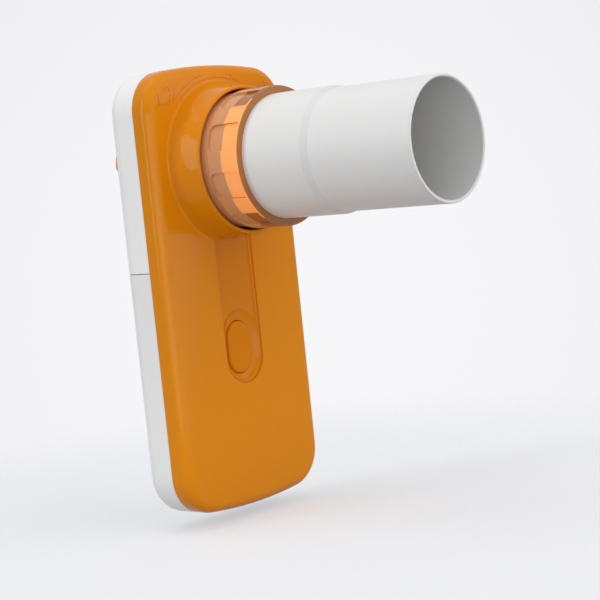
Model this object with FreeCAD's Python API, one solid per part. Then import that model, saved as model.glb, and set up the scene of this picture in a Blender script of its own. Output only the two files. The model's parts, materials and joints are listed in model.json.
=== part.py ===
import FreeCAD, Part
import math
import os

# Handheld spirometer, in millimetres. +X is right seen from the front, the front faces -Y, +Z is up.
# The origin is the middle of the housing, on the parting plane of its two halves.

# Housing
housing_width = 49.0
corner_radius = 10.0
end_radius = 135.0
front_depth = 5.2
wall = 1.5
front_edge_round = 2.4
rear_edge_round = 4.0
seam = 0.1
foot_gap = 3.2
chip_band = 10.9
top_gap = 3.8
split_rise = 6.4
split_gap = 0.2
lip_thickness = 0.7
lip_height = 1.0
lip_root = 2.0
lip_gap = 0.15

# Mouthpiece
mouthpiece_radius = 14.9
mouthpiece_step = 0.53
mouthpiece_wall = 0.82
mouthpiece_step_reach = 17.4
mouthpiece_taper = 1.9
mouthpiece_reach = 47.9
mouthpiece_gap = 0.05
mouthpiece_seat = 5.2
lip_round = 0.35

# Turbine
grip_wall = 1.85
grip_gap = 0.3
grip_height = 11.0
grip_end_gap = 1.8
grip_rim_width = 0.5
grip_count = 9
grip_recess_angle = 22.75
grip_recess_depth = 0.5
grip_recess_round = 1.6
collar_zone_gap = 0.7
lug_count = 3
lug_first_angle = 171.5
lug_half_angle = 9.0
lug_reach = 0.3
lug_height = 1.2
lug_round = 1.8
lug_clearance = 0.3
barrel_gap = 0.3
barrel_wall = 2.2
barrel_overhang = 6.3
seal_depth = 4.3
seal_width = 1.6
seal_gap = 0.15
seal_thickness = 1.5
seal_corner = 0.5

# Turbine socket and its flared collar
collar_height = 8.4
collar_rim_width = 0.9
collar_rim_round = 0.4
collar_flare = 1.8
collar_hollow = 0.35
collar_fillet = 0.6
collar_foot_margin = 0.1
socket_wall = 2.2
socket_flange = 2.3
socket_flange_thickness = 1.0
sensor_window = 2.0
sensor_angle = 13.0

# Deflectors and rotor
front_deflector_gap = 4.5
rear_deflector_gap = 1.0
deflector_length = 6.6
deflector_ring = 0.6
deflector_hub = 2.3
vane_count = 6
vane_thickness = 0.8
vane_twist = 50.0
vane_steps = 4
nose_length = 2.2
press_gap = 0.04
bearing_radius = 1.3
bearing_length = 1.8
bearing_depth = 1.2
pivot_gap = 0.06
shaft_radius = 0.5
rotor_tip_gap = 0.9
rotor_end_gap = 3.0
rotor_vane_thickness = 0.4
rotor_hub_radius = 1.0
rotor_play = 0.15

# Channel, dish and power button
channel_width = 13.3
channel_depth = 0.9
channel_round = 0.5
channel_bite = 0.8
dish_height = 19.0
dish_drop = 45.3
dish_depth = 1.9
dish_steps = 3
dish_wall = 1.2
dish_margin = 0.3
backing_wall = 0.8
button_width = 8.2
button_height = 13.1
button_offset = 0.5
button_sink = 1.2
button_gap = 0.15
button_round = 0.7
button_flange = 0.8
button_flange_thickness = 0.5
button_stem_radius = 1.6
button_stem = 0.25
button_travel = 0.5

# Electronics
board_thickness = 1.0
board_edge_gap = 1.3
board_foot_rise = 0.8
board_tail_gap = 0.4
board_tail_reach = 10.8
board_socket_gap = 0.4
switch_size = 5.2
switch_height = 1.5
plunger_radius = 1.4
plunger_height = 0.33
plunger_gap = 0.05
controller_size = 7.0
controller_height = 0.9
radio_width = 8.0
radio_length = 7.5
radio_height = 1.8
crystal_width = 3.2
crystal_length = 1.5
crystal_height = 0.8
chip_rise = 5.2
sensor_width = 1.8
sensor_length = 3.0
sensor_height = 2.6
solder_gap = 0.02

# Power cells, their tray and contacts
cell_radius = 5.25
cell_length = 44.5
cell_gap = 0.175
cell_nub_radius = 1.9
cell_nub = 1.0
cell_edge_round = 0.6
tray_wall = 1.2
tray_floor = 0.55
tray_seat_gap = 0.1
tray_side = 0.55
tray_notch_gap = 0.45
tray_rail_y = 4.2
tray_rail_reach = 2.4
tray_rail_thickness = 1.2
rail_end_gap = 0.4
contact_room = 2.0
contact_thickness = 0.3
contact_width = 5.0
contact_base = 7.0
contact_gap = 0.05
contact_strip = 3.3
island_side = 0.55
island_rise = 4.1
island_gap = 2.9

# Battery door
door_rail_gap = 0.3
door_rail_thickness = 1.2
tongue_reach = 2.0
tongue_width = 28.0
tongue_thickness = 1.1
tongue_gap = 0.3
grip_top_gap = 3.5
grip_groove_count = 5
grip_groove_width = 16.0
grip_groove_depth = 0.4
grip_groove_pitch = 2.0
grip_groove_radius = 0.9
foam_width = 10.0
foam_height = 28.0
foam_thickness = 2.0

# Screws
screw_radius = 0.95
screw_head_radius = 1.75
screw_head_height = 1.2
screw_gap = 0.05
cross_width = 0.5
cross_length = 2.2
cross_depth = 0.6
post_radius = 2.4
cover_post_radius = 3.0
inner_post_radius = 1.9
upper_screw_side = 6.3
upper_screw_end = 7.7
lower_screw_side = 5.1
lower_screw_rise = 4.6
cover_screw_length = 8.5
cover_pocket = 2.5
board_screw_x = 3.2
board_screw_rise = 7.8
board_screw_length = 4.0
tray_screw_rise = 4.8
tray_screw_length = 3.2
pilot_spare = 0.4

# Radii about the turbine's axis, from the mouthpiece outwards and back to the bore
mouthpiece_tip_radius = mouthpiece_radius - mouthpiece_step
mouthpiece_bore = mouthpiece_tip_radius - mouthpiece_wall
grip_radius = mouthpiece_radius + mouthpiece_gap + grip_wall
collar_bore = grip_radius + grip_gap
collar_rim = collar_bore + collar_rim_width
collar_foot = collar_rim + collar_flare
lug_radius = collar_bore - lug_reach
socket_bore = lug_radius - lug_height
socket_outer = socket_bore + socket_wall
flange_radius = socket_outer + socket_flange
barrel_radius = socket_bore - barrel_gap
barrel_bore = barrel_radius - barrel_wall
rotor_vane_radius = barrel_bore - rotor_tip_gap

# Heights: the housing is as tall as the tray, the band of chips and the turbine that it holds
tray_length = cell_length + 2 * (contact_room + tray_wall)
housing_height = foot_gap + tray_length + chip_band + 2 * flange_radius + top_gap
half_height = housing_height / 2
turbine_height = half_height - top_gap - flange_radius
tray_bottom = foot_gap - half_height
tray_top = tray_bottom + tray_length
cell_top = tray_top - tray_wall - contact_room
cell_bottom = cell_top - cell_length
split_height = tray_top + split_rise
chip_z = tray_top + chip_rise
board_foot_z = tray_top + board_foot_rise
dish_centre_z = turbine_height - dish_drop
button_z = dish_centre_z - button_offset
board_tail_end = button_z - board_tail_reach
backing_top = turbine_height - flange_radius - split_gap
backing_foot = dish_centre_z - dish_height / 2 - backing_wall
island_top = backing_foot - island_gap

# Widths: the tray's side walls stand inside the door's rails, and the cells against them
half_width = housing_width / 2
tray_inner = half_width - wall - rail_end_gap - tray_rail_reach - tray_wall
cell_x = tray_inner - tray_side - cell_radius
island_width = 2 * (cell_x - cell_radius - island_side)
backing_width = channel_width + 2 * backing_wall
tray_notch = backing_width / 2 + tray_notch_gap

# Depths: the rear face lies a wall behind the cells
front_y = -front_depth
front_inner_y = front_y + wall
tray_front_y = front_inner_y + tray_seat_gap
tray_floor_y = tray_front_y + tray_floor
tray_roof_y = tray_front_y + island_rise
cell_y = tray_floor_y + cell_gap + cell_radius
rear_inner_y = cell_y + cell_radius + cell_gap
rear_depth = rear_inner_y + wall
tray_wall_y = rear_inner_y - lip_height
rail_back_y = tray_rail_y + tray_rail_thickness
cover_seat_y = rear_depth - cover_pocket
seal_y = front_inner_y - seal_depth
collar_rim_y = front_y - collar_height
grip_rim_y = collar_rim_y - grip_height
grip_end_y = collar_rim_y - grip_end_gap
mouthpiece_seat_y = grip_rim_y + mouthpiece_seat
mouthpiece_step_y = grip_rim_y - mouthpiece_step_reach
mouthpiece_end_y = grip_rim_y - mouthpiece_reach
barrel_rear_y = rear_depth + barrel_overhang
front_deflector_y = mouthpiece_seat_y + front_deflector_gap
front_bearing_y = front_deflector_y + deflector_length - bearing_length
rear_deflector_y = barrel_rear_y - rear_deflector_gap - deflector_length

# The button, the switch behind it and the board that carries the switch
backing_y = front_y + dish_depth + dish_wall
button_face_y = front_y + button_sink
button_flange_y = backing_y + button_gap
button_stem_y = button_flange_y + button_flange_thickness + button_stem
plunger_y = button_stem_y + button_travel + plunger_gap
switch_face_y = plunger_y + plunger_height
board_y = switch_face_y + switch_height + solder_gap
board_rear_y = board_y + board_thickness
chip_y = board_rear_y + solder_gap

# Places of the screws and of the chips between them
upper_screw_x = half_width - upper_screw_side
upper_screw_z = half_height - upper_screw_end
lower_screw_x = half_width - lower_screw_side
lower_screw_z = split_height + lower_screw_rise
board_screw_z = tray_top + board_screw_rise
tray_screw_upper_z = island_top - post_radius - tray_wall
tray_screw_lower_z = tray_bottom + tray_screw_rise
chip_x = (board_screw_x + screw_head_radius + lower_screw_x - cover_post_radius) / 2

turbine_axis = FreeCAD.Vector(0, 0, turbine_height)
rearward = FreeCAD.Vector(0, 1, 0)
clockwise = FreeCAD.Vector(0, -1, 0)
far = 200.0


def vec(x, y, z):
    return FreeCAD.Vector(x, y, z)


def box(x0, x1, y0, y1, z0, z1):
    return Part.makeBox(x1 - x0, y1 - y0, z1 - z0, vec(x0, y0, z0))


def rod(radius, y0, y1, x, z):
    return Part.makeCylinder(radius, y1 - y0, vec(x, y0, z), rearward)


def turbine_rod(radius, y0, y1):
    return rod(radius, y0, y1, 0, turbine_height)


def turbine_ring(outer, inner, y0, y1):
    return turbine_rod(outer, y0, y1).cut(turbine_rod(inner, y0, y1))


def turned(shape, angle):
    """A copy turned about the turbine's axis, from +X towards +Z."""
    copy = shape.copy()
    copy.rotate(turbine_axis, clockwise, angle)
    return copy


def fused(first, *others):
    return first.fuse(list(others)).removeSplitter()


def arc(start, through, end):
    return Part.Arc(start, through, end).toShape()


def lathe(points):
    """A solid turned about the turbine's axis from a closed outline of (radius, y) points."""
    corners = [vec(radius, y, turbine_height) for radius, y in points]
    outline = Part.makePolygon(corners + corners[:1])
    return Part.Face(outline).revolve(turbine_axis, rearward, 360)


def circles_at(shape, radius, y):
    """The circular edges of one radius about the turbine's axis at one depth."""
    found = []
    for edge in shape.Edges:
        curve = edge.Curve
        if not isinstance(curve, Part.Circle):
            continue
        on_axis = abs(curve.Center.x) < 1e-3 and abs(curve.Center.z - turbine_height) < 1e-3
        if on_axis and abs(curve.Radius - radius) < 1e-3 and abs(curve.Center.y - y) < 1e-3:
            found.append(edge)
    return found


def housing_outline(inset, y):
    """The housing's outline: straight sides, round corners and slightly bowed ends, all tangent."""
    side = half_width - inset
    end = half_height - inset
    corner = corner_radius - inset
    bow = end_radius - inset
    reach = side - corner
    rise = math.sqrt((bow - corner) ** 2 - reach ** 2)
    corner_z = end - bow + rise
    end_x = bow * reach / (bow - corner)
    end_z = end - bow + bow * rise / (bow - corner)
    turn = math.atan2(rise, reach) / 2
    middle_x = reach + corner * math.cos(turn)
    middle_z = corner_z + corner * math.sin(turn)
    edges = [
        Part.makeLine(vec(side, y, -corner_z), vec(side, y, corner_z)),
        arc(vec(side, y, corner_z), vec(middle_x, y, middle_z), vec(end_x, y, end_z)),
        arc(vec(end_x, y, end_z), vec(0, y, end), vec(-end_x, y, end_z)),
        arc(vec(-end_x, y, end_z), vec(-middle_x, y, middle_z), vec(-side, y, corner_z)),
        Part.makeLine(vec(-side, y, corner_z), vec(-side, y, -corner_z)),
        arc(vec(-side, y, -corner_z), vec(-middle_x, y, -middle_z), vec(-end_x, y, -end_z)),
        arc(vec(-end_x, y, -end_z), vec(0, y, -end), vec(end_x, y, -end_z)),
        arc(vec(end_x, y, -end_z), vec(middle_x, y, -middle_z), vec(side, y, -corner_z)),
    ]
    return Part.Wire(edges)


def housing_block(inset, y0, y1):
    return Part.Face(housing_outline(inset, y0)).extrude(vec(0, y1 - y0, 0))


def rounded_block(inset, y0, y1, edge_round):
    """A block of the housing's outline whose rim at y1 is rounded."""
    block = housing_block(inset, y0, y1)
    rim = [edge for edge in block.Edges if all(abs(v.Y - y1) < 1e-6 for v in edge.Vertexes)]
    return block.makeFillet(edge_round, rim)


def housing_half(y0, y1, edge_round):
    """A half of the housing: a rounded tray with one even wall."""
    inward = wall if y1 < y0 else -wall
    outer = rounded_block(0, y0, y1, edge_round)
    inner = rounded_block(wall, y0, y1 + inward, edge_round - wall)
    return outer.cut(inner)


def slot(width, height, y, centre_z):
    """The outline of an upright slot with round ends."""
    radius = width / 2
    top = centre_z + height / 2 - radius
    foot = centre_z - height / 2 + radius
    edges = [
        Part.makeLine(vec(radius, y, foot), vec(radius, y, top)),
        arc(vec(radius, y, top), vec(0, y, top + radius), vec(-radius, y, top)),
        Part.makeLine(vec(-radius, y, top), vec(-radius, y, foot)),
        arc(vec(-radius, y, foot), vec(0, y, foot - radius), vec(radius, y, foot)),
    ]
    return Part.Wire(edges)


def slot_block(width, height, y0, y1, centre_z):
    return Part.Face(slot(width, height, y0, centre_z)).extrude(vec(0, y1 - y0, 0))


def cover_screw_places():
    places = []
    for side in (-1, 1):
        places.append((side * upper_screw_x, upper_screw_z))
        places.append((side * lower_screw_x, lower_screw_z))
    return places


def board_screw_places():
    return [(side * board_screw_x, board_screw_z) for side in (-1, 1)]


def tray_screw_places():
    return [(0, tray_screw_upper_z), (0, tray_screw_lower_z)]


def screw(x, z, head_y, length):
    """A screw driven towards -Y, its head's seat at head_y, with a cross in its head."""
    top = head_y + screw_head_height
    body = fused(
        rod(screw_head_radius, head_y, top, x, z),
        rod(screw_radius, head_y - length, head_y, x, z),
    )
    across = box(x - cross_length / 2, x + cross_length / 2, top - cross_depth, top,
                 z - cross_width / 2, z + cross_width / 2)
    along = box(x - cross_width / 2, x + cross_width / 2, top - cross_depth, top,
                z - cross_length / 2, z + cross_length / 2)
    return body.cut([across, along])


def screw_group(places, head_y, length):
    return Part.makeCompound([screw(x, z, head_y, length) for x, z in places])


def post(x, z, radius, y1, screw_end):
    """A post of the front cover with its pilot hole."""
    body = rod(radius, front_inner_y - wall / 2, y1, x, z)
    pilot = rod(screw_radius + screw_gap, screw_end - pilot_spare, y1, x, z)
    return body, pilot


def lug_tool(spare):
    """One bayonet lug, or with some spare the slot that lets it pass."""
    half = lug_radius * math.sin(math.radians(lug_half_angle)) + spare
    first = rear_depth + lug_clearance - spare
    last = barrel_rear_y + spare
    block = box(barrel_bore, lug_radius + spare + 1, first, last,
                turbine_height - half, turbine_height + half)
    along = [e for e in block.Edges if abs(e.Vertexes[0].X - e.Vertexes[1].X) > 1e-3]
    if spare == 0:
        block = block.makeFillet(lug_round, along)
    return block.common(turbine_rod(lug_radius + spare, first, last))


def lug_angles():
    return [lug_first_angle + 360 / lug_count * index for index in range(lug_count)]


def lug_slots(y0, y1):
    half = lug_radius * math.sin(math.radians(lug_half_angle)) + lug_clearance
    bar = box(0, far, y0, y1, turbine_height - half, turbine_height + half)
    bar = bar.common(turbine_rod(collar_bore, y0, y1))
    return [turned(bar, angle) for angle in lug_angles()]


def flare(foot, foot_y):
    """A solid round the turbine's axis with hollow sides, from the collar's rim to a filleted foot."""
    skirt = foot + collar_fillet + collar_foot_margin
    middle = (collar_rim + foot) / 2 - collar_hollow
    centre = vec(0, collar_rim_y, turbine_height)
    rim = vec(collar_rim, collar_rim_y, turbine_height)
    hollow = vec(middle, (collar_rim_y + foot_y) / 2, turbine_height)
    outline = Part.Wire([
        Part.makeLine(centre, rim),
        arc(rim, hollow, vec(foot, foot_y, turbine_height)),
        Part.makeLine(vec(foot, foot_y, turbine_height), vec(skirt, foot_y, turbine_height)),
        Part.makeLine(vec(skirt, foot_y, turbine_height), vec(skirt, front_inner_y, turbine_height)),
        Part.makeLine(vec(skirt, front_inner_y, turbine_height), vec(0, front_inner_y, turbine_height)),
        Part.makeLine(vec(0, front_inner_y, turbine_height), centre),
    ])
    solid = Part.Face(outline).revolve(turbine_axis, rearward, 360)
    return solid.makeFillet(collar_fillet, circles_at(solid, foot, foot_y))


def flared_collar():
    """The collar round the socket, which flares to its foot and meets the front face in a fillet."""
    collar = flare(collar_foot, front_y)
    collar = collar.cut(turbine_rod(collar_bore, collar_rim_y, front_inner_y))
    lips = circles_at(collar, collar_bore, collar_rim_y)
    lips += circles_at(collar, collar_rim, collar_rim_y)
    return collar.makeFillet(collar_rim_round, lips)


def dish_outline(share):
    """The dish's outline at a share of the way from its rim in to the button; it flattens inwards."""
    rim_width = channel_width - 2 * channel_round
    rim_height = dish_height - 2 * channel_round
    width = rim_width + share * (button_width + 2 * dish_margin - rim_width)
    height = rim_height + share * (button_height + 2 * dish_margin - rim_height)
    drop = (dish_depth - channel_depth) * (1 - (1 - share) ** 2)
    return slot(width, height, front_y + channel_depth + drop, dish_centre_z - share * button_offset)


def channel_and_dish():
    """The channel, which runs out on the collar's flare, and the dish at its foot with its hole."""
    floor_y = front_y + channel_depth
    foot = dish_centre_z - dish_height / 2
    channel = slot_block(channel_width, 2 * (turbine_height - foot), collar_rim_y, floor_y,
                         turbine_height)
    rim = [edge for edge in channel.Edges if all(abs(v.Y - floor_y) < 1e-6 for v in edge.Vertexes)]
    channel = channel.makeFillet(channel_round, rim)
    channel = channel.common(box(-far, far, -far, far, -far, turbine_height))
    channel = channel.cut(flare(collar_foot - channel_bite, floor_y))
    dish = Part.makeLoft([dish_outline(step / dish_steps) for step in range(dish_steps + 1)], True)
    hole = slot_block(button_width + 2 * button_gap, button_height + 2 * button_gap,
                      floor_y, backing_y, button_z)
    return [channel, dish, hole]


def front_cover():
    shell = housing_half(0, front_y, front_edge_round)
    lip_outer = wall + lip_gap
    lip = housing_block(lip_outer, -lip_root, lip_height)
    lip = lip.cut(housing_block(lip_outer + lip_thickness, -lip_root, lip_height))
    root = housing_block(wall / 2, -lip_root, -lip_root + lip_thickness)
    root = root.cut(housing_block(lip_outer + lip_thickness, -lip_root, -lip_root + lip_thickness))
    backing = slot_block(backing_width, 2 * (backing_top - backing_foot),
                         front_y + wall / 2, backing_y, backing_top)
    backing = backing.common(box(-far, far, -far, far, -far, backing_top))
    shell = fused(shell, lip, root, backing)
    bodies = [flared_collar()]
    pilots = []
    ends = [
        (cover_screw_places(), post_radius, board_rear_y, cover_seat_y - cover_screw_length),
        (board_screw_places(), inner_post_radius, board_y - seam,
         board_rear_y - board_screw_length),
        (tray_screw_places(), inner_post_radius, tray_roof_y - tray_wall - seam,
         tray_roof_y - tray_screw_length),
    ]
    for places, radius, top, screw_end in ends:
        for x, z in places:
            body, pilot = post(x, z, radius, top, screw_end)
            bodies.append(body)
            pilots.append(pilot)
    shell = fused(shell, *bodies)
    bore = turbine_rod(collar_bore, collar_rim_y - 1, front_inner_y + 1)
    return shell.cut([bore] + pilots + channel_and_dish())


def rear_half():
    return housing_half(seam, rear_depth, rear_edge_round)


def rear_cover():
    edge = split_height + split_gap / 2
    cover = rear_half().common(box(-far, far, -far, far, edge, far))
    bulkhead_z = lower_screw_z - tray_wall
    bulkhead = box(-half_width + wall, half_width - wall,
                   board_rear_y + radio_height + seam, rear_inner_y,
                   bulkhead_z, bulkhead_z + tray_wall)
    bulkhead = bulkhead.cut(turbine_rod(socket_outer + wall, 0, rear_inner_y))
    posts = []
    holes = []
    for x, z in cover_screw_places():
        posts.append(rod(cover_post_radius, board_rear_y + seam, rear_inner_y + wall / 2, x, z))
        holes.append(rod(screw_radius + screw_gap, 0, rear_depth, x, z))
        holes.append(rod(screw_head_radius + button_gap, cover_seat_y, rear_depth, x, z))
    half = tongue_width / 2
    tongue_y = rear_inner_y - tongue_gap
    tongue = box(-half, half, tongue_y - tongue_thickness, tongue_y,
                 edge - tongue_reach, edge + 2 * tongue_reach)
    root = box(-half, half, tongue_y - tongue_thickness, rear_inner_y + wall / 2,
               edge + tongue_reach / 2, edge + 2 * tongue_reach)
    cover = fused(cover, bulkhead, tongue, root, *posts)
    opening = turbine_rod(socket_bore, 0, rear_depth)
    return cover.cut([opening] + holes + lug_slots(0, rear_depth))


def turbine_seat():
    front = front_inner_y + seam
    rear = rear_inner_y - seam
    seat = fused(
        turbine_rod(socket_outer, front, rear),
        turbine_rod(flange_radius, front, front + socket_flange_thickness),
    )
    seat = seat.cut([turbine_rod(socket_bore, front, rear)] + lug_slots(front, rear))
    sensor_y = board_rear_y + sensor_height / 2
    half = sensor_window / 2
    window = box(-far, far, sensor_y - half, sensor_y + half,
                 turbine_height - half, turbine_height + half)
    return seat.cut([turned(window, -sensor_angle), turned(window, sensor_angle)])


def sensor(angle):
    """One infrared part on the board, looking at the turbine through the seat's window."""
    inner = socket_outer + board_socket_gap + seam
    body = box(inner, inner + sensor_width, chip_y, chip_y + sensor_height,
               turbine_height - sensor_length / 2, turbine_height + sensor_length / 2)
    return turned(body, angle)


def ir_emitters():
    return Part.makeCompound([sensor(sensor_angle), sensor(-sensor_angle)])


def ir_receivers():
    return Part.makeCompound([sensor(180 + sensor_angle), sensor(180 - sensor_angle)])


def main_board():
    inset = wall + board_edge_gap + lip_thickness
    board = housing_block(inset, board_y, board_rear_y)
    board = board.common(box(-far, far, -far, far, board_foot_z, far))
    half_tail = island_width / 2 - board_tail_gap
    tail = box(-half_tail, half_tail, board_y, board_rear_y,
               board_tail_end, board_foot_z + wall)
    board = fused(board, tail)
    cuts = [turbine_rod(socket_outer + board_socket_gap, 0, rear_depth)]
    for x, z in cover_screw_places():
        cuts.append(rod(cover_post_radius + board_socket_gap, 0, rear_depth, x, z))
    for x, z in board_screw_places():
        cuts.append(rod(screw_radius + screw_gap, 0, rear_depth, x, z))
    return board.cut(cuts)


def chip(width, length, height, x):
    """A part soldered to the board's rear face."""
    return box(x - width / 2, x + width / 2, chip_y, chip_y + height,
               chip_z - length / 2, chip_z + length / 2)


def tact_switch():
    half = switch_size / 2
    body = box(-half, half, switch_face_y, board_y - solder_gap,
               button_z - half, button_z + half)
    return fused(body, rod(plunger_radius, plunger_y, switch_face_y, 0, button_z))


def power_button():
    pad = slot_block(button_width, button_height, button_face_y, button_flange_y, button_z)
    rim = [e for e in pad.Edges if all(abs(v.Y - button_face_y) < 1e-6 for v in e.Vertexes)]
    pad = pad.makeFillet(button_round, rim)
    flange = slot_block(button_width + 2 * button_flange, button_height + 2 * button_flange,
                        button_flange_y, button_flange_y + button_flange_thickness, button_z)
    stem = rod(button_stem_radius, button_flange_y + button_flange_thickness, button_stem_y,
               0, button_z)
    return fused(pad, flange, stem)


def battery_cell(x, upright):
    barrel_length = cell_length - cell_nub
    can = Part.makeCylinder(cell_radius, barrel_length, vec(x, cell_y, cell_bottom))
    ends = [e for e in can.Edges if isinstance(e.Curve, Part.Circle)]
    can = can.makeFillet(cell_edge_round, ends)
    nub = Part.makeCylinder(cell_nub_radius, cell_nub, vec(x, cell_y, cell_bottom + barrel_length))
    cell = fused(can, nub)
    if not upright:
        cell.rotate(vec(x, cell_y, (cell_top + cell_bottom) / 2), vec(0, 1, 0), 180)
    return cell


def battery_tray():
    """The tray between the cells and the front cover, with an island under the button's board."""
    outer = tray_inner + tray_wall
    pieces = [
        box(-outer, outer, tray_front_y, tray_floor_y, tray_bottom, tray_top),
        box(-outer, outer, tray_front_y, tray_wall_y, tray_bottom, tray_bottom + tray_wall),
        box(-outer, outer, tray_front_y, tray_wall_y, tray_top - tray_wall, tray_top),
    ]
    for side in (-1, 1):
        x0, x1 = sorted((side * tray_inner, side * outer))
        pieces.append(box(x0, x1, tray_front_y, rail_back_y, tray_bottom, tray_top))
    half = island_width / 2
    pieces.append(box(-half, half, tray_front_y, tray_roof_y, tray_bottom, island_top))
    tray = fused(*pieces)
    inside = wall + lip_gap + lip_thickness + tray_seat_gap
    tray = tray.common(housing_block(inside, tray_front_y, rear_inner_y))
    rails = []
    for side in (-1, 1):
        x0, x1 = sorted((side * tray_inner, side * (outer + tray_rail_reach)))
        rails.append(box(x0, x1, tray_rail_y, rail_back_y, corner_radius - half_height, tray_top))
    tray = fused(tray, *rails)
    half_foam = foam_width / 2 + door_rail_gap
    foam_y = rear_inner_y - contact_gap - foam_thickness - door_rail_gap
    cuts = [
        box(-tray_notch, tray_notch, tray_front_y, rear_inner_y, island_top, tray_top),
        box(tray_wall - half, half - tray_wall, tray_front_y, tray_roof_y - tray_wall,
            tray_bottom + tray_wall, island_top - tray_wall),
        box(-half_foam, half_foam, foam_y, rear_inner_y, tray_bottom, tray_bottom + tray_wall),
    ]
    for x, z in tray_screw_places():
        cuts.append(rod(screw_radius + screw_gap, tray_front_y, rear_inner_y, x, z))
    return tray.cut(cuts)


def leaf_contact(x, wall_z, inward):
    """A folded spring leaf: a plate against the tray's end wall and a bowed tongue to the cell."""
    tip = wall_z + inward * (contact_room - contact_gap)
    low = cell_y - contact_base / 2
    high = cell_y + contact_base / 2
    x0 = x - contact_width / 2
    base = wall_z + inward * contact_gap
    plate = base + inward * contact_thickness
    under = tip - inward * contact_thickness
    outline = Part.Wire([
        Part.makeLine(vec(x0, low, base), vec(x0, high, base)),
        Part.makeLine(vec(x0, high, base), vec(x0, high, plate)),
        arc(vec(x0, high, plate), vec(x0, cell_y, tip), vec(x0, low, plate)),
        Part.makeLine(vec(x0, low, plate), vec(x0, low, base)),
    ])
    hollow = Part.Wire([
        Part.makeLine(vec(x0, low + contact_thickness, plate),
                      vec(x0, high - contact_thickness, plate)),
        arc(vec(x0, high - contact_thickness, plate), vec(x0, cell_y, under),
            vec(x0, low + contact_thickness, plate)),
    ])
    leaf = Part.Face(outline).extrude(vec(contact_width, 0, 0))
    return leaf.cut(Part.Face(hollow).extrude(vec(contact_width, 0, 0)))


def contact_link():
    """The lower contact, one strip that joins both cells."""
    wall_z = tray_bottom + tray_wall
    base = wall_z + contact_gap
    half = cell_x + contact_width / 2
    low = tray_roof_y + contact_gap
    strip = box(-half, half, low, low + contact_strip, base, base + contact_thickness)
    return fused(leaf_contact(-cell_x, wall_z, 1), leaf_contact(cell_x, wall_z, 1), strip)


def battery_door():
    edge = split_height - split_gap / 2
    door = rear_half().common(box(-far, far, -far, far, -far, edge))
    rail_y = tray_rail_y - door_rail_gap
    reach = tray_inner + tray_wall + door_rail_gap
    pieces = []
    for side in (-1, 1):
        x0, x1 = sorted((side * reach, side * (half_width - wall / 2)))
        pieces.append(box(x0, x1, rail_y - door_rail_thickness, rail_y,
                          tray_bottom + corner_radius, tray_top))
    door = fused(door, *pieces)
    grooves = []
    groove_y = rear_depth + grip_groove_radius - grip_groove_depth
    for index in range(grip_groove_count):
        z = edge - grip_top_gap - index * grip_groove_pitch
        grooves.append(Part.makeCylinder(grip_groove_radius, grip_groove_width,
                                         vec(-grip_groove_width / 2, groove_y, z), vec(1, 0, 0)))
    return door.cut(grooves)


def battery_pad():
    half = foam_width / 2
    middle = (cell_top + cell_bottom) / 2
    inner = rear_inner_y - contact_gap
    return box(-half, half, inner - foam_thickness, inner,
               middle - foam_height / 2, middle + foam_height / 2)


def turbine_barrel():
    zone = collar_bore - collar_zone_gap
    shoulder = front_inner_y + seam - barrel_gap
    groove = grip_radius - seal_thickness - 2 * seal_gap
    half_groove = seal_width / 2 + seal_gap
    mouth = mouthpiece_radius + mouthpiece_gap
    rim = grip_radius
    barrel = lathe([
        (mouth, grip_rim_y),
        (rim, grip_rim_y),
        (rim, grip_end_y),
        (zone, grip_end_y + collar_zone_gap),
        (zone, seal_y - half_groove),
        (groove, seal_y - half_groove),
        (groove, seal_y + half_groove),
        (zone, seal_y + half_groove),
        (zone, shoulder),
        (barrel_radius, shoulder),
        (barrel_radius, barrel_rear_y),
        (barrel_bore, barrel_rear_y),
        (barrel_bore, mouthpiece_seat_y),
        (mouth, mouthpiece_seat_y),
    ])
    barrel = barrel.makeFillet(collar_rim_round, circles_at(barrel, rim, grip_rim_y))
    lugs = [turned(lug_tool(0), angle) for angle in lug_angles()]
    barrel = fused(barrel, *lugs)
    barrel = barrel.cut(turbine_rod(barrel_bore, rear_depth, barrel_rear_y))
    return barrel.cut(grip_recesses())


def grip_recesses():
    floor = grip_radius - grip_recess_depth
    half = grip_radius * math.sin(math.radians(grip_recess_angle / 2))
    y0 = grip_rim_y + grip_rim_width
    tool = box(floor - 1, grip_radius + 1, y0, grip_end_y, turbine_height - half,
               turbine_height + half)
    corners = [e for e in tool.Edges
               if abs(e.Vertexes[0].X - e.Vertexes[1].X) > 1e-3
               and abs(e.Vertexes[0].Y - grip_end_y) < 1e-6]
    tool = tool.makeFillet(grip_recess_round, corners)
    tool = tool.cut(turbine_rod(floor, y0 - 1, grip_end_y + 1))
    return [turned(tool, 360 / grip_count * index) for index in range(grip_count)]


def turbine_seal():
    inner = grip_radius - seal_thickness - seal_gap
    outer = inner + seal_thickness
    y0 = seal_y - seal_width / 2
    y1 = seal_y + seal_width / 2
    ring = turbine_ring(outer, inner, y0, y1)
    edges = circles_at(ring, outer, y0) + circles_at(ring, outer, y1)
    return ring.makeFillet(seal_corner, edges)


def helical_vane(y0, twist):
    """One vane of a deflector, swept along its turn by a loft of radial bars."""
    sections = []
    reach = barrel_bore - press_gap - deflector_ring / 2
    for step in range(vane_steps + 1):
        share = step / vane_steps
        y = y0 + deflector_length * share
        half = vane_thickness / 2
        root = deflector_hub / 2
        bar = Part.makePolygon([
            vec(root, y, turbine_height - half),
            vec(reach, y, turbine_height - half),
            vec(reach, y, turbine_height + half),
            vec(root, y, turbine_height + half),
            vec(root, y, turbine_height - half),
        ])
        bar.rotate(turbine_axis, clockwise, twist * share)
        sections.append(bar)
    return Part.makeLoft(sections, True, False)


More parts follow.
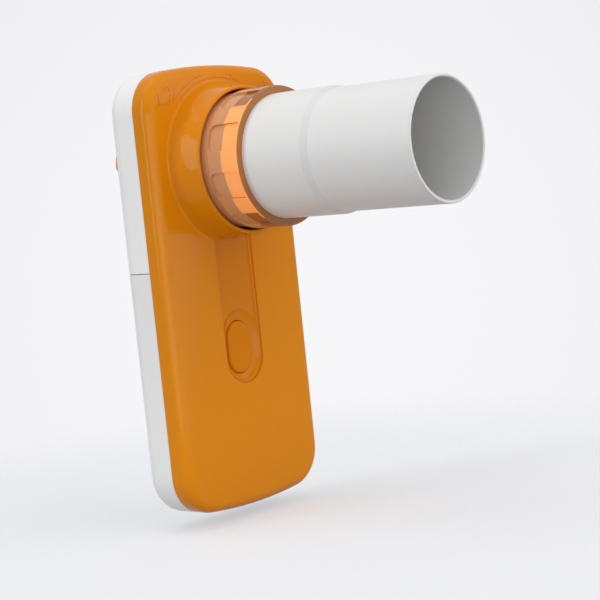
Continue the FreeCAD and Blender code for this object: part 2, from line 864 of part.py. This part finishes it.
def deflector(y0, twist, inward):
    """A stator: a ring, a hub with a nose, and helical vanes that swirl the air onto the rotor."""
    outer = barrel_bore - press_gap
    y1 = y0 + deflector_length
    ring = turbine_ring(outer, outer - deflector_ring, y0, y1)
    hub = turbine_rod(deflector_hub, y0, y1)
    nose_y = y0 if inward > 0 else y1
    nose = Part.makeCone(deflector_hub, deflector_hub / 3, nose_length,
                         vec(0, nose_y, turbine_height), vec(0, -inward, 0))
    vane = helical_vane(y0, twist)
    vanes = [turned(vane, 360 / vane_count * index) for index in range(vane_count)]
    body = fused(ring, hub, nose, *vanes)
    pocket_y = y1 - bearing_length if inward > 0 else y0
    return body.cut(turbine_rod(bearing_radius + press_gap, pocket_y, pocket_y + bearing_length))


def bearing(y0, inward):
    hole_y = y0 + bearing_length - bearing_depth if inward > 0 else y0
    cup = turbine_rod(bearing_radius, y0, y0 + bearing_length)
    return cup.cut(turbine_rod(shaft_radius + pivot_gap, hole_y, hole_y + bearing_depth))


def rotor_shaft():
    y0 = front_bearing_y + bearing_length - bearing_depth + rotor_play
    y1 = rear_deflector_y + bearing_depth - rotor_play
    return turbine_rod(shaft_radius, y0, y1)


def rotor_vane():
    y0 = front_deflector_y + deflector_length + rotor_end_gap
    y1 = rear_deflector_y - rotor_end_gap
    half = rotor_vane_thickness / 2
    blade = box(-rotor_vane_radius, rotor_vane_radius, y0, y1,
                turbine_height - half, turbine_height + half)
    corners = [e for e in blade.Edges if abs(e.Vertexes[0].Z - e.Vertexes[1].Z) > 1e-3]
    blade = blade.makeFillet(rotor_hub_radius, corners)
    vane = fused(blade, turbine_rod(rotor_hub_radius, y0, y1))
    return vane.cut(turbine_rod(shaft_radius + press_gap, y0, y1))


def mouthpiece():
    inner_end = mouthpiece_seat_y - seam
    tube = lathe([
        (mouthpiece_bore, inner_end),
        (mouthpiece_radius, inner_end),
        (mouthpiece_radius, mouthpiece_step_y),
        (mouthpiece_tip_radius, mouthpiece_step_y - mouthpiece_taper),
        (mouthpiece_tip_radius, mouthpiece_end_y),
        (mouthpiece_bore, mouthpiece_end_y),
    ])
    lip = (circles_at(tube, mouthpiece_tip_radius, mouthpiece_end_y)
           + circles_at(tube, mouthpiece_bore, mouthpiece_end_y))
    return tube.makeFillet(lip_round, lip)


def build():
    top_wall = tray_top - tray_wall
    return {
        "front_cover": front_cover(),
        "rear_cover": rear_cover(),
        "turbine_seat": turbine_seat(),
        "main_board": main_board(),
        "microcontroller": chip(controller_size, controller_size, controller_height, -chip_x),
        "wireless_module": chip(radio_width, radio_length, radio_height, chip_x),
        "crystal_oscillator": chip(crystal_width, crystal_length, crystal_height, 0),
        "tact_switch": tact_switch(),
        "ir_emitters": ir_emitters(),
        "ir_receivers": ir_receivers(),
        "battery_tray": battery_tray(),
        "battery_cell_left": battery_cell(-cell_x, True),
        "battery_cell_right": battery_cell(cell_x, False),
        "contact_positive": leaf_contact(-cell_x, top_wall, -1),
        "contact_negative": leaf_contact(cell_x, top_wall, -1),
        "contact_link": contact_link(),
        "cover_screws": screw_group(cover_screw_places(), cover_seat_y, cover_screw_length),
        "board_screws": screw_group(board_screw_places(), board_rear_y, board_screw_length),
        "tray_screws": screw_group(tray_screw_places(), tray_roof_y, tray_screw_length),
        "power_button": power_button(),
        "turbine_seal": turbine_seal(),
        "turbine_barrel": turbine_barrel(),
        "front_deflector": deflector(front_deflector_y, vane_twist, 1),
        "rear_deflector": deflector(rear_deflector_y, -vane_twist, -1),
        "front_bearing": bearing(front_bearing_y, 1),
        "rear_bearing": bearing(rear_deflector_y, -1),
        "rotor_shaft": rotor_shaft(),
        "rotor_vane": rotor_vane(),
        "mouthpiece": mouthpiece(),
        "battery_door": battery_door(),
        "battery_pad": battery_pad(),
    }


os.makedirs("parts", exist_ok=True)
for name, shape in build().items():
    shape.exportStep("parts/" + name + ".step")
    box_size = shape.BoundBox
    print(name, "solids", len(shape.Solids), "valid", shape.isValid(),
          "size %.1f %.1f %.1f" % (box_size.XLength, box_size.YLength, box_size.ZLength))
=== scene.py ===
import json
import math

import bpy
from mathutils import Matrix, Vector


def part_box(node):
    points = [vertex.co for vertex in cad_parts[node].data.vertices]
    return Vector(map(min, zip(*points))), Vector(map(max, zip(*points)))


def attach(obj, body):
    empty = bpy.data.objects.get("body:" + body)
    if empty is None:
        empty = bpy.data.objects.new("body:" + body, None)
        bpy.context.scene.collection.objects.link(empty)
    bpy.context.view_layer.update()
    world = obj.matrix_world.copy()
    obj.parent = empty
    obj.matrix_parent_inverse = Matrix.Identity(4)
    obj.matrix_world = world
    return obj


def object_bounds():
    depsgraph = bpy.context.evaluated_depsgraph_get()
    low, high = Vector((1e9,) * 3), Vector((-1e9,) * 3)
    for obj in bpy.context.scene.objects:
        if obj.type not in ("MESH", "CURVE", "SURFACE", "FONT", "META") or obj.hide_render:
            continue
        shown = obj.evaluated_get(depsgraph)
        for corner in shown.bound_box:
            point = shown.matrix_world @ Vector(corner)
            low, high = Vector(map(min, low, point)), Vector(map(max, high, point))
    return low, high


# Handheld spirometer: finishes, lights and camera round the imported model. Metres throughout.

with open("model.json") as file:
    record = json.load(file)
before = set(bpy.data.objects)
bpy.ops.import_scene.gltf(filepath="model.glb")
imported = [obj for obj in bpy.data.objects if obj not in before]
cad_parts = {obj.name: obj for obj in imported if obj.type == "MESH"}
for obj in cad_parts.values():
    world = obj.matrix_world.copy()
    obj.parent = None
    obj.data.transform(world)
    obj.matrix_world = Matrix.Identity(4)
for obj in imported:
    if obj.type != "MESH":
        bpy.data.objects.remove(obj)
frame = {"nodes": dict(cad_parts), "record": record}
cad_low, cad_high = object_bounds()

MM = 0.001
MICRON = 0.000001

# Camera at the photograph's viewing angle
CAMERA_PLACE = Vector((-310.05, -291.26, 29.45)) * MM
CAMERA_FORWARD = Vector((0.755945, 0.649524, -0.081644))
CAMERA_RIGHT = Vector((0.641884, -0.759929, -0.102434))
CAMERA_LENS = 102.84
CAMERA_NEAREST = 0.01
SENSOR_WIDTH = 36.0

# Floor and backdrop: what the floor shows is part shadow, part backdrop
FLOOR_Z = -57.5 * MM
FLOOR_RADIUS = 0.42
FLOOR_SIDES = 96
FLOOR_FADE_START = 0.08
FLOOR_FADE_END = 0.20
FLOOR_SHADE = 0.50
FLOOR_TONE = (0.935, 0.960, 0.985)
FLOOR_BOUNCE = (0.45, 0.45, 0.46)
FLOOR_GLOW = (0.890, 0.890, 0.920)
BACKDROP_MIDDLE = (0.930, 0.930, 0.945)
BACKDROP_EDGE = (0.855, 0.852, 0.882)
BACKDROP_SPREAD = 0.968

# Light from all round: its level at the horizon and how much it gains from there to straight up
AMBIENT = 0.15
AMBIENT_RISE = 0.50
# The softboxes face this point, beside the collar
LIT_POINT = Vector((-18.0, -10.0, 33.0)) * MM

# Colours, linear
ORANGE = (0.760, 0.254, 0.0025)
ORANGE_DEEP = (0.745, 0.247, 0.0020)
# Painted shade for the channel under the collar
ORANGE_CHANNEL_SHADE = (0.680, 0.216, 0.0015)
ORANGE_BUTTON = (0.700, 0.215, 0.0010)
ORANGE_PRINT = (0.560, 0.165, 0.0020)
SHELL_WHITE = (0.930, 0.930, 0.930)
# Painted shade: the battery door's white, a little darker than the shell's
DOOR_WHITE_SHADED = (0.860, 0.862, 0.865)
TUBE_WHITE = (0.862, 0.862, 0.858)
# Painted shade on the tube: inside it, and on the slope of its step
TUBE_INSIDE_SHADE = (0.700, 0.700, 0.695)
TUBE_SLOPE_SHADE = (0.770, 0.772, 0.772)
AMBER_BODY = (0.800, 0.380, 0.170)
# Painted on the clear ring: light where the tube shows through it, shade at its rim and where it turns
# from the eye, and a glow
AMBER_PAINTED_LIGHT = (1.000, 0.500, 0.170)
AMBER_RIM_SHADE = (0.460, 0.190, 0.060)
AMBER_PAINTED_GLOW = (0.240, 0.060, 0.008)
BLACK = (0.0, 0.0, 0.0)

# Moulded texture: grains and slow changes of tone to the metre, and the tones' usual range
FINE_GRAIN = 2500.0
COATED_GRAIN = 1500.0
CLEAR_GRAIN = 1800.0
METAL_GRAIN = 4000.0
FOAM_GRAIN = 900.0
SLOW_TONE = 60.0
SLOWER_TONE = 30.0
TONE_LOW = 0.3
TONE_HIGH = 0.7

# The channel under the collar, where shade is painted: how wide, and where its floor lies behind the
# face
CHANNEL_HALF_WIDTH = 12.0 * MM
CHANNEL_DEPTH = 0.45 * MM
CHANNEL_BLUR = 0.5 * MM
BUTTON_BELOW_FACE = 1.2 * MM

# The ring's rim, where shade is painted, and how softly one zone along the turbine's axis goes over into
# the next
RIM_WIDTH = 0.12 * MM
ZONE_BLUR = 0.08 * MM
# How far the clear wall turns from the eye before its painted light gives way to painted shade
CLEAR_FACING = (0.50, 0.55)
# The ring's painted light, where the tube stands behind it, reaches this far above and below the axis
CLEAR_HALF_HEIGHT = 14.0 * MM

# Halfway through the mouthpiece's wall: inside it the tube is painted darker, as shade
TUBE_MIDDLE_RADIUS = 13.85 * MM
# How far forward its outside faces on the slope of its step, where shade is painted; 1 is straight ahead
SLOPE_LEAST = 0.04
SLOPE_MOST = 0.60

# Pictograms on the face, (x, z) in millimetres: an open lock, the way to turn, a closed lock
PRINT_LINE = 0.08 * MM
OPEN_LOCK_BODY = ((-20.6, 48.0), (-20.4, 45.5), (-17.1, 45.3), (-16.4, 47.8))
OPEN_LOCK_BOW = ((-18.8, 48.4), (-17.6, 49.5), (-17.1, 49.6), (-16.6, 48.5))
OPEN_LOCK_BAR = ((-14.8, 49.3), (-15.8, 45.6))
TURN_TICK = ((5.0, 52.0), (5.5, 51.0), (8.8, 49.8))
CLOSED_LOCK_BODY = ((15.2, 48.4), (15.3, 46.6), (18.4, 46.4), (18.6, 48.1), (15.2, 48.4))
CLOSED_LOCK_BOW = ((15.9, 48.4), (16.2, 49.7), (17.6, 49.7), (17.9, 48.2))
# Each arc about the turbine's axis: radius, then first and last angle
TURN_ARCS = ((21.9, 133.0, 104.0), (20.7, 130.0, 75.0))
TURN_ARC_STEPS = 24


def turbine_axis_z():
    low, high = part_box("turbine_seal")
    return (low[2] + high[2]) / 2


def scaled(colour, share):
    return tuple(share * part for part in colour)


def math_node(tree, operation, first, second=None):
    node = tree.nodes.new("ShaderNodeMath")
    node.operation = operation
    for index, value in enumerate((first, second)):
        if value is None:
            continue
        if isinstance(value, (int, float)):
            node.inputs[index].default_value = value
        else:
            tree.links.new(value, node.inputs[index])
    return node.outputs[0]


def range_node(tree, value, start, end, low, high):
    """Brings a value from the range start to end into the range low to high."""
    node = tree.nodes.new("ShaderNodeMapRange")
    for label, number in (("From Min", start), ("From Max", end), ("To Min", low), ("To Max", high)):
        node.inputs[label].default_value = number
    tree.links.new(value, node.inputs["Value"])
    return node


def split(tree, vector):
    apart = tree.nodes.new("ShaderNodeSeparateXYZ")
    tree.links.new(vector, apart.inputs[0])
    return apart.outputs


def place_at_rest(tree):
    """X, Y and Z of the shaded point, as it lies at rest."""
    return split(tree, tree.nodes.new("ShaderNodeTexCoord").outputs["Object"])


def blend_colours(tree, factor, first, second):
    """A mix of two colours, each a plain colour or another node's output."""
    mix = tree.nodes.new("ShaderNodeMix")
    mix.data_type = "RGBA"
    for label, colour in (("A", first), ("B", second)):
        if isinstance(colour, tuple):
            mix.inputs[label].default_value = (*colour, 1)
        else:
            tree.links.new(colour, mix.inputs[label])
    tree.links.new(factor, mix.inputs["Factor"])
    return mix.outputs["Result"]


def mix_shaders(tree, factor, first, second):
    mix = tree.nodes.new("ShaderNodeMixShader")
    tree.links.new(factor, mix.inputs["Fac"])
    tree.links.new(first, mix.inputs[1])
    tree.links.new(second, mix.inputs[2])
    return mix.outputs[0]


def new_group(name, inputs, outputs):
    """A shader node group with named float inputs and outputs."""
    group = bpy.data.node_groups.new(name, "ShaderNodeTree")
    for label, default in inputs:
        socket = group.interface.new_socket(name=label, in_out="INPUT", socket_type="NodeSocketFloat")
        socket.default_value = default
    for label in outputs:
        group.interface.new_socket(name=label, in_out="OUTPUT", socket_type="NodeSocketFloat")
    entry = group.nodes.new("NodeGroupInput")
    exit_node = group.nodes.new("NodeGroupOutput")
    return group, entry, exit_node


def moulded_grain():
    """Fine mould texture: a height for the bump, and a slow tone that varies over the surface."""
    group, entry, exit_node = new_group(
        "moulded_grain", [("Grain Scale", FINE_GRAIN), ("Tone Scale", SLOW_TONE)], ["Height", "Tone"])
    place = group.nodes.new("ShaderNodeTexCoord")
    for scale, detail, label in (("Grain Scale", 2.0, "Height"), ("Tone Scale", 4.0, "Tone")):
        noise = group.nodes.new("ShaderNodeTexNoise")
        noise.inputs["Detail"].default_value = detail
        group.links.new(place.outputs["Object"], noise.inputs["Vector"])
        group.links.new(entry.outputs[scale], noise.inputs["Scale"])
        group.links.new(noise.outputs["Fac"], exit_node.inputs[label])
    return group


def axial_step():
    """A mask that goes from 0 to 1 at one place along the turbine's axis."""
    group, entry, exit_node = new_group("axial_step", [("Place", 0.0), ("Blur", ZONE_BLUR)], ["Mask"])
    offset = math_node(group, "SUBTRACT", place_at_rest(group)["Y"], entry.outputs["Place"])
    slope = math_node(group, "DIVIDE", offset, entry.outputs["Blur"])
    middle = group.nodes.new("ShaderNodeMath")
    middle.operation = "ADD"
    middle.use_clamp = True
    middle.inputs[1].default_value = 0.5
    group.links.new(slope, middle.inputs[0])
    group.links.new(middle.outputs[0], exit_node.inputs["Mask"])
    return group


def outside_radius():
    """A mask that is 1 outside a radius about the turbine's axis, 0 inside it."""
    group, entry, exit_node = new_group(
        "outside_radius", [("Radius", TUBE_MIDDLE_RADIUS), ("Axis Height", 0.0)], ["Mask"])
    place = place_at_rest(group)
    rise = math_node(group, "SUBTRACT", place["Z"], entry.outputs["Axis Height"])
    squares = math_node(group, "ADD", math_node(group, "MULTIPLY", rise, rise),
                        math_node(group, "MULTIPLY", place["X"], place["X"]))
    distance = math_node(group, "SQRT", squares)
    beyond = math_node(group, "GREATER_THAN", distance, entry.outputs["Radius"])
    group.links.new(beyond, exit_node.inputs["Mask"])
    return group


GRAIN = moulded_grain()
AXIAL_STEP = axial_step()
OUTSIDE_RADIUS = outside_radius()


def place_group(tree, group, values):
    """Puts a node group into a material with its own values."""
    node = tree.nodes.new("ShaderNodeGroup")
    node.node_tree = group
    for label, value in values.items():
        node.inputs[label].default_value = value
    return node.outputs


def beyond_place(tree, place, blur=ZONE_BLUR):
    """1 behind a place along the turbine's axis, 0 in front of it."""
    return place_group(tree, AXIAL_STEP, {"Place": place, "Blur": blur})["Mask"]


def start_material(name):
    material = bpy.data.materials.new(name)
    material.use_nodes = True
    tree = material.node_tree
    return material, tree, tree.nodes["Principled BSDF"]


def grained(name, first, second, rough, grain_scale, grain_depth, tone_scale=SLOW_TONE):
    """A moulded or coated surface: two near tones, uneven gloss and a fine grain in the bump."""
    material, tree, surface = start_material(name)
    grain = place_group(tree, GRAIN, {"Grain Scale": grain_scale, "Tone Scale": tone_scale})
    tree.links.new(blend_colours(tree, grain["Tone"], first, second), surface.inputs["Base Color"])
    gloss = range_node(tree, grain["Tone"], TONE_LOW, TONE_HIGH, *rough)
    tree.links.new(gloss.outputs["Result"], surface.inputs["Roughness"])
    bump = tree.nodes.new("ShaderNodeBump")
    bump.inputs["Strength"].default_value = 1.0
    bump.inputs["Distance"].default_value = grain_depth
    tree.links.new(grain["Height"], bump.inputs["Height"])
    tree.links.new(bump.outputs["Normal"], surface.inputs["Normal"])
    return material, tree, surface


def base_colour(surface):
    """What feeds the Base Color so far."""
    return surface.inputs["Base Color"].links[0].from_socket


def orange_button():
    material, tree, surface = grained(
        "orange_button", ORANGE_BUTTON, scaled(ORANGE_BUTTON, 0.98), rough=(0.10, 0.14),
        grain_scale=FINE_GRAIN, grain_depth=0.1 * MICRON)
    surface.inputs["Specular IOR Level"].default_value = 0.06
    return material


def channel_shade_mask(tree):
    """Where shade is painted on the cover: 1 in the channel below the collar, 0 elsewhere."""
    place = place_at_rest(tree)
    near = math_node(tree, "LESS_THAN", math_node(tree, "ABSOLUTE", place["X"]), CHANNEL_HALF_WIDTH)
    low = math_node(tree, "LESS_THAN", place["Z"], turbine_axis_z())
    face_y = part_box("power_button")[0][1] - BUTTON_BELOW_FACE
    deep = beyond_place(tree, face_y + CHANNEL_DEPTH, CHANNEL_BLUR)
    return math_node(tree, "MULTIPLY", deep, math_node(tree, "MULTIPLY", near, low))


def orange_cover():
    """Satin orange, with painted shade making the channel below the collar a little darker."""
    material, tree, surface = grained(
        "orange_cover", ORANGE, ORANGE_DEEP, rough=(0.05, 0.08),
        grain_scale=FINE_GRAIN, grain_depth=0.1 * MICRON)
    surface.inputs["Specular IOR Level"].default_value = 0.11
    # The channel is painted darker, as shade under the collar and tube
    colour = blend_colours(tree, channel_shade_mask(tree), base_colour(surface), ORANGE_CHANNEL_SHADE)
    tree.links.new(colour, surface.inputs["Base Color"])
    return material


def white_plastic(name, colour):
    material, tree, surface = grained(
        name, colour, scaled(colour, 0.985), rough=(0.30, 0.34),
        grain_scale=FINE_GRAIN, grain_depth=0.6 * MICRON)
    surface.inputs["Specular IOR Level"].default_value = 0.5
    return material


def slope_shade_mask(tree):
    """Where shade is painted: 1 where the tube's outside slopes at its step, 0 on its straight stretches
    and its end.
    """
    geometry = tree.nodes.new("ShaderNodeNewGeometry")
    forward = math_node(tree, "MULTIPLY", split(tree, geometry.outputs["Normal"])["Y"], -1.0)
    above = math_node(tree, "GREATER_THAN", forward, SLOPE_LEAST)
    below = math_node(tree, "LESS_THAN", forward, SLOPE_MOST)
    return math_node(tree, "MULTIPLY", above, below)


def mouth_tube():
    """Coated white tube, with painted shade on the slope of its step and inside."""
    material, tree, surface = grained(
        "mouth_tube", TUBE_WHITE, scaled(TUBE_WHITE, 0.99), rough=(0.40, 0.46),
        grain_scale=COATED_GRAIN, grain_depth=0.6 * MICRON, tone_scale=SLOWER_TONE)
    surface.inputs["Specular IOR Level"].default_value = 0.2
    # Painted shade on the step's slope and inside the tube
    outside = blend_colours(tree, slope_shade_mask(tree), base_colour(surface), TUBE_SLOPE_SHADE)
    radial = place_group(
        tree, OUTSIDE_RADIUS, {"Radius": TUBE_MIDDLE_RADIUS, "Axis Height": turbine_axis_z()})
    colour = blend_colours(tree, radial["Mask"], TUBE_INSIDE_SHADE, outside)
    tree.links.new(colour, surface.inputs["Base Color"])
    return material


def painted_light_mask(tree):
    """Where light is painted on the clear ring: 1 where its wall faces the eye and has the tube behind
    it, 0 where it turns away and takes painted shade.
    """
    turned = tree.nodes.new("ShaderNodeLayerWeight")
    turned.inputs["Blend"].default_value = 0.5
    clear = range_node(tree, turned.outputs["Facing"], *CLEAR_FACING, 1.0, 0.0)
    geometry = tree.nodes.new("ShaderNodeNewGeometry")
    height = split(tree, geometry.outputs["Position"])["Z"]
    rise = math_node(tree, "ABSOLUTE", math_node(tree, "SUBTRACT", height, turbine_axis_z()))
    before_tube = math_node(tree, "LESS_THAN", rise, CLEAR_HALF_HEIGHT)
    return math_node(tree, "MULTIPLY", clear.outputs["Result"], before_tube)


def amber_clear():
    """Clear amber plastic, with painted light and a painted glow where the white tube stands behind it,
    and painted shade at the rim.
    """
    material, tree, surface = grained(
        "amber_clear", AMBER_BODY, AMBER_BODY, rough=(0.08, 0.12),
        grain_scale=CLEAR_GRAIN, grain_depth=0.3 * MICRON)
    behind_rim = beyond_place(tree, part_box("turbine_barrel")[0][1] + RIM_WIDTH)
    behind_tube = beyond_place(tree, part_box("mouthpiece")[1][1])
    tube_light = painted_light_mask(tree)
    band = blend_colours(tree, tube_light, AMBER_RIM_SHADE, AMBER_PAINTED_LIGHT)
    body = blend_colours(tree, behind_tube, band, AMBER_BODY)
    tree.links.new(blend_colours(tree, behind_rim, AMBER_RIM_SHADE, body), surface.inputs["Base Color"])
    # A painted glow, where the tube stands behind the clear wall
    tube_glow = math_node(tree, "MULTIPLY", tube_light, math_node(tree, "SUBTRACT", behind_rim, behind_tube))
    tree.links.new(blend_colours(tree, tube_glow, BLACK, AMBER_PAINTED_GLOW), surface.inputs["Emission Color"])
    surface.inputs["Emission Strength"].default_value = 1.0
    surface.inputs["Transmission Weight"].default_value = 0.15
    surface.inputs["Specular IOR Level"].default_value = 0.18
    surface.inputs["IOR"].default_value = 1.45
    return material


def dull(name, colour, rough=(0.5, 0.6), grain_scale=FINE_GRAIN, grain_depth=2.0 * MICRON):
    return grained(name, colour, scaled(colour, 0.85), rough, grain_scale, grain_depth)[0]


def metal(name, colour, rough=(0.25, 0.35)):
    material, tree, surface = grained(
        name, colour, scaled(colour, 0.9), rough, grain_scale=METAL_GRAIN, grain_depth=1.0 * MICRON)
    surface.inputs["Metallic"].default_value = 1.0
    return material


# One finish for each material slot
FINISHES = {
    "orange_cover": orange_cover(),
    "white_shell": white_plastic("white_shell", SHELL_WHITE),
    "mouth_tube": mouth_tube(),
    "amber_clear": amber_clear(),
    "dark_inner": dull("dark_inner", (0.012, 0.012, 0.013)),
    "board": dull("board", (0.006, 0.060, 0.022), rough=(0.3, 0.4)),
    "chip": dull("chip", (0.008, 0.008, 0.009)),
    "shield": metal("shield", (0.60, 0.61, 0.63)),
    "cell": metal("cell", (0.10, 0.11, 0.14)),
    "spring_metal": metal("spring_metal", (0.70, 0.70, 0.70), rough=(0.15, 0.25)),
    "screw_steel": metal("screw_steel", (0.50, 0.50, 0.51)),
    "seal_rubber": dull("seal_rubber", (0.010, 0.010, 0.010), rough=(0.6, 0.7)),
    "foam": dull("foam", (0.03, 0.03, 0.03), rough=(0.8, 0.9),
                 grain_scale=FOAM_GRAIN, grain_depth=20.0 * MICRON),
    "vane_black": dull("vane_black", (0.012, 0.012, 0.012), rough=(0.3, 0.4)),
    "pivot_brass": metal("pivot_brass", (0.72, 0.50, 0.20)),
}

# Nodes with a tone of their own within their slot: the button's own orange, and the battery door's white
# painted darker as shade
OWN_FINISHES = {
    "battery_door": white_plastic("door_white_shaded", DOOR_WHITE_SHADED),
    "power_button": orange_button(),
}


def dress_nodes():
    for entry in frame["record"]["subparts"]:
        node = frame["nodes"][entry["node"]]
        finish = OWN_FINISHES.get(entry["node"], FINISHES[entry["material_slot"]])
        node.data.materials.clear()
        node.data.materials.append(finish)


def on_face(x, z):
    """The point of the front cover's outside at x, z, in metres."""
    start = Vector((x, cad_low[1], z))
    hit, place, normal, index = frame["nodes"]["front_cover"].ray_cast(start, Vector((0, 1, 0)))
    if not hit:
        raise ValueError("a pictogram lies beside the front cover")
    return place


def turn_arc(radius, first, last):
    """Points of an arc about the turbine's axis, in millimetres."""
    axis_z = turbine_axis_z() / MM
    points = []
    for step in range(TURN_ARC_STEPS + 1):
        angle = math.radians(first + (last - first) * step / TURN_ARC_STEPS)
        points.append((radius * math.cos(angle), axis_z + radius * math.sin(angle)))
    return points


def face_print(name, strokes, finish):
    """Thin lines on the front cover, one stroke per list of (x, z) points in millimetres."""
    curve = bpy.data.curves.new(name, "CURVE")
    curve.dimensions = "3D"
    curve.bevel_depth = PRINT_LINE
    curve.bevel_resolution = 2
    curve.use_fill_caps = True
    for stroke in strokes:
        spline = curve.splines.new("POLY")
        spline.points.add(len(stroke) - 1)
        for point, (x, z) in zip(spline.points, stroke):
            point.co = (*on_face(x * MM, z * MM), 1)
    curve.materials.append(finish)
    lines = bpy.data.objects.new(name, curve)
    bpy.context.scene.collection.objects.link(lines)
    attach(lines, "housing")


def make_pictograms():
    finish = dull("face_print", ORANGE_PRINT, rough=(0.3, 0.4))
    face_print("open_lock_print", (OPEN_LOCK_BODY, OPEN_LOCK_BOW, OPEN_LOCK_BAR), finish)
    face_print("turn_print", [TURN_TICK] + [turn_arc(*arc) for arc in TURN_ARCS], finish)
    face_print("closed_lock_print", (CLOSED_LOCK_BODY, CLOSED_LOCK_BOW), finish)


def seen_directly(tree):
    """1 for rays from the camera, off gloss or through clear plastic, 0 for those that only light."""
    path = tree.nodes.new("ShaderNodeLightPath")
    looks = math_node(tree, "MAXIMUM", path.outputs["Is Camera Ray"], path.outputs["Is Glossy Ray"])
    return math_node(tree, "MAXIMUM", looks, path.outputs["Is Transmission Ray"])


def floor_material():
    """Part shadow, part backdrop, clear towards the rim, and a plain grey to what it lights."""
    material, tree, surface = start_material("floor")
    seen = seen_directly(tree)
    tree.links.new(blend_colours(tree, seen, FLOOR_BOUNCE, FLOOR_TONE), surface.inputs["Base Color"])
    surface.inputs["Roughness"].default_value = 1.0
    surface.inputs["Specular IOR Level"].default_value = 0.0
    glow = tree.nodes.new("ShaderNodeEmission")
    glow.inputs["Color"].default_value = (*FLOOR_GLOW, 1)
    clear = tree.nodes.new("ShaderNodeBsdfTransparent")
    place = tree.nodes.new("ShaderNodeTexCoord")
    length = tree.nodes.new("ShaderNodeVectorMath")
    length.operation = "LENGTH"
    tree.links.new(place.outputs["Object"], length.inputs[0])
    fade = range_node(tree, length.outputs["Value"], FLOOR_FADE_START, FLOOR_FADE_END, 1.0, 0.0)
    fade.interpolation_type = "SMOOTHSTEP"
    backdrop_share = math_node(tree, "MULTIPLY", seen, 1 - FLOOR_SHADE)
    lit = mix_shaders(tree, backdrop_share, surface.outputs[0], glow.outputs[0])
    whole = mix_shaders(tree, fade.outputs["Result"], clear.outputs[0], lit)
    tree.links.new(whole, tree.nodes["Material Output"].inputs["Surface"])
    return material


def make_floor():
    """A pale disc under the object that fades into the backdrop away from the shadow.

    It goes down with the battery door, so that the door never slides through it.
    """
    bpy.ops.mesh.primitive_circle_add(vertices=FLOOR_SIDES, radius=FLOOR_RADIUS, fill_type="NGON",
                                      location=(0, 0, FLOOR_Z))
    floor = bpy.context.object
    floor.name = "floor"
    floor.data.materials.append(floor_material())
    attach(floor, "door")


def make_world():
    """Soft light from all round, seen as a pale backdrop that is a little brighter in its middle."""
    world = bpy.data.worlds.new("studio")
    bpy.context.scene.world = world
    world.use_nodes = True
    tree = world.node_tree
    way = tree.nodes.new("ShaderNodeTexCoord").outputs["Generated"]
    light = tree.nodes["Background"]
    light.inputs["Color"].default_value = (1, 1, 1, 1)
    rise = math_node(tree, "MULTIPLY", split(tree, way)["Z"], AMBIENT_RISE)
    level = math_node(tree, "MAXIMUM", math_node(tree, "ADD", rise, AMBIENT), 0.0)
    tree.links.new(level, light.inputs["Strength"])
    middle = tree.nodes.new("ShaderNodeVectorMath")
    middle.operation = "DOT_PRODUCT"
    middle.inputs[1].default_value = CAMERA_FORWARD.normalized()
    tree.links.new(way, middle.inputs[0])
    bright = range_node(tree, middle.outputs["Value"], BACKDROP_SPREAD, 1.0, 0.0, 1.0)
    backdrop = tree.nodes.new("ShaderNodeBackground")
    tree.links.new(blend_colours(tree, bright.outputs["Result"], BACKDROP_EDGE, BACKDROP_MIDDLE),
                   backdrop.inputs["Color"])
    whole = mix_shaders(tree, seen_directly(tree), light.outputs[0], backdrop.outputs[0])
    tree.links.new(whole, tree.nodes["World Output"].inputs["Surface"])


def softbox(name, shape, bearing, height, distance, size, power):
    """An area lamp at a bearing and height in degrees and a distance from the lit point, facing it."""
    lamp = bpy.data.lights.new(name, "AREA")
    lamp.shape = shape
    lamp.size, lamp.size_y = size
    lamp.energy = power
    box = bpy.data.objects.new(name, lamp)
    bpy.context.scene.collection.objects.link(box)
    flat = math.cos(math.radians(height))
    outward = Vector((flat * math.cos(math.radians(bearing)), flat * math.sin(math.radians(bearing)),
                      math.sin(math.radians(height))))
    box.location = LIT_POINT + distance * outward
    box.rotation_euler = (-outward).to_track_quat("-Z", "Y").to_euler()


def make_lights():
    softbox("top_softbox", "RECTANGLE", bearing=150.0, height=72.0, distance=1.0,
            size=(0.7, 0.7), power=1.9)
    softbox("left_softbox", "ELLIPSE", bearing=152.0, height=16.0, distance=0.9,
            size=(0.30, 0.74), power=2.1)
    softbox("camera_side_softbox", "RECTANGLE", bearing=-140.0, height=-3.0, distance=1.1,
            size=(1.3, 0.36), power=4.4)
    softbox("front_softbox", "RECTANGLE", bearing=-75.0, height=20.0, distance=1.2,
            size=(1.6, 1.6), power=9.0)


def make_camera():
    data = bpy.data.cameras.new("camera")
    data.sensor_width = SENSOR_WIDTH
    data.lens = CAMERA_LENS
    data.clip_start = CAMERA_NEAREST
    camera = bpy.data.objects.new("camera", data)
    bpy.context.scene.collection.objects.link(camera)
    forward = CAMERA_FORWARD.normalized()
    right = CAMERA_RIGHT.normalized()
    up = right.cross(forward)
    turn = Matrix((right, up, -forward)).transposed().to_4x4()
    camera.matrix_world = Matrix.Translation(CAMERA_PLACE) @ turn
    bpy.context.scene.camera = camera


dress_nodes()
make_pictograms()
make_floor()
make_world()
make_lights()
make_camera()
bpy.context.scene.view_settings.view_transform = "Standard"
